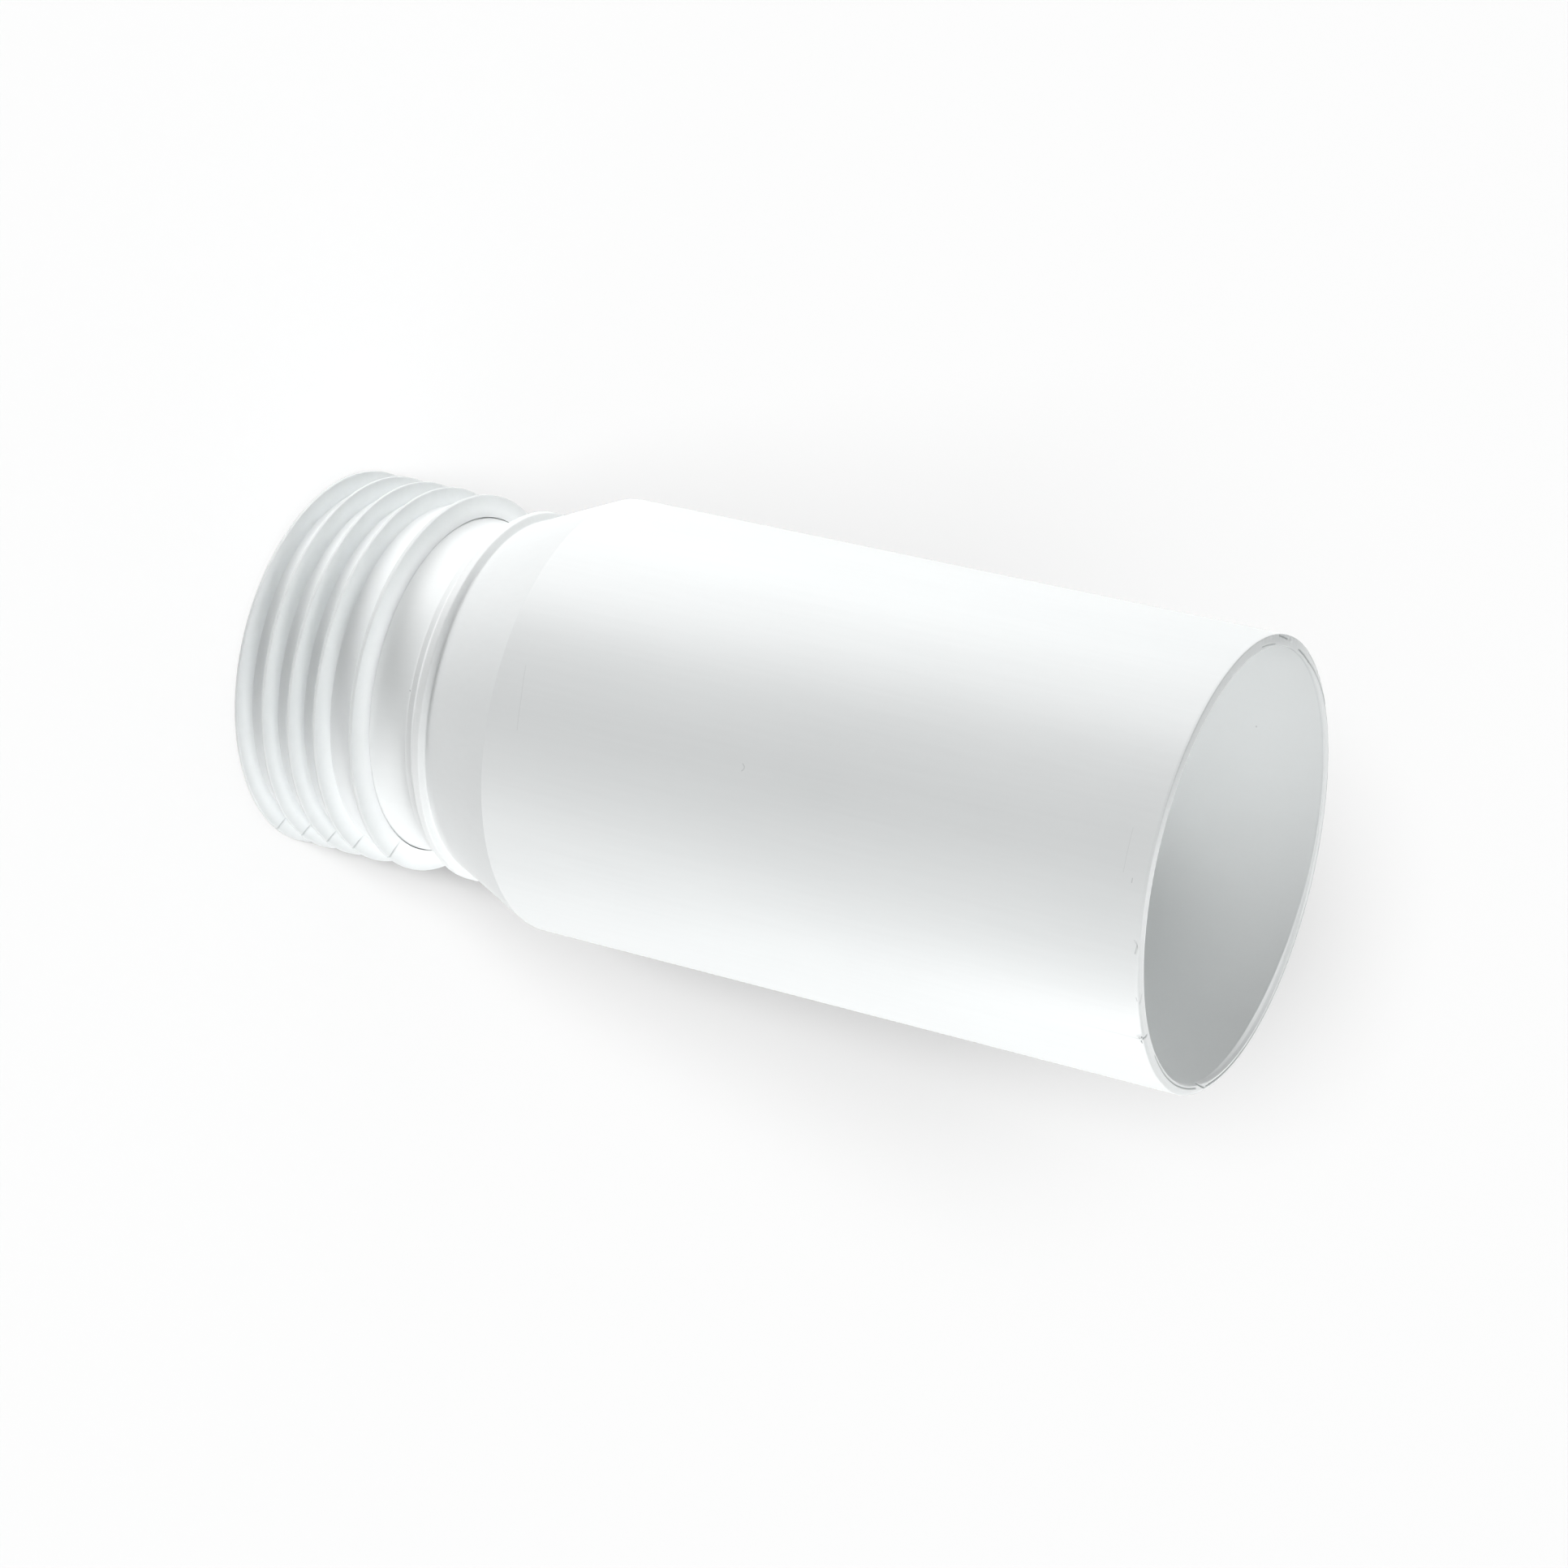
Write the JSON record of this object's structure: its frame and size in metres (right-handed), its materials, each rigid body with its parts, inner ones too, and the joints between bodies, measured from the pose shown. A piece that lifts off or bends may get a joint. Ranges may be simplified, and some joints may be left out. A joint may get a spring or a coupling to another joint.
{
  "type": "pan connector extension",
  "caption": "Plain inlet pipe that narrows through a cone and a stop collar to a neck with a soft finned push-in seal at its outlet.",
  "frame": {"origin": "centre of the outlet end, on the surface that the part stands on", "axes": "+Z along the axis, from the finned outlet end to the cut end of the plain inlet pipe"},
  "size_m": [0.11, 0.11, 0.25],
  "materials": {
    "pipe": "satin white polypropylene",
    "seal": "soft matt white elastomer"
  },
  "bodies": {
    "root": {"extension_pipe": "pipe", "finned_seal": "seal"}
  },
  "joints": []
}
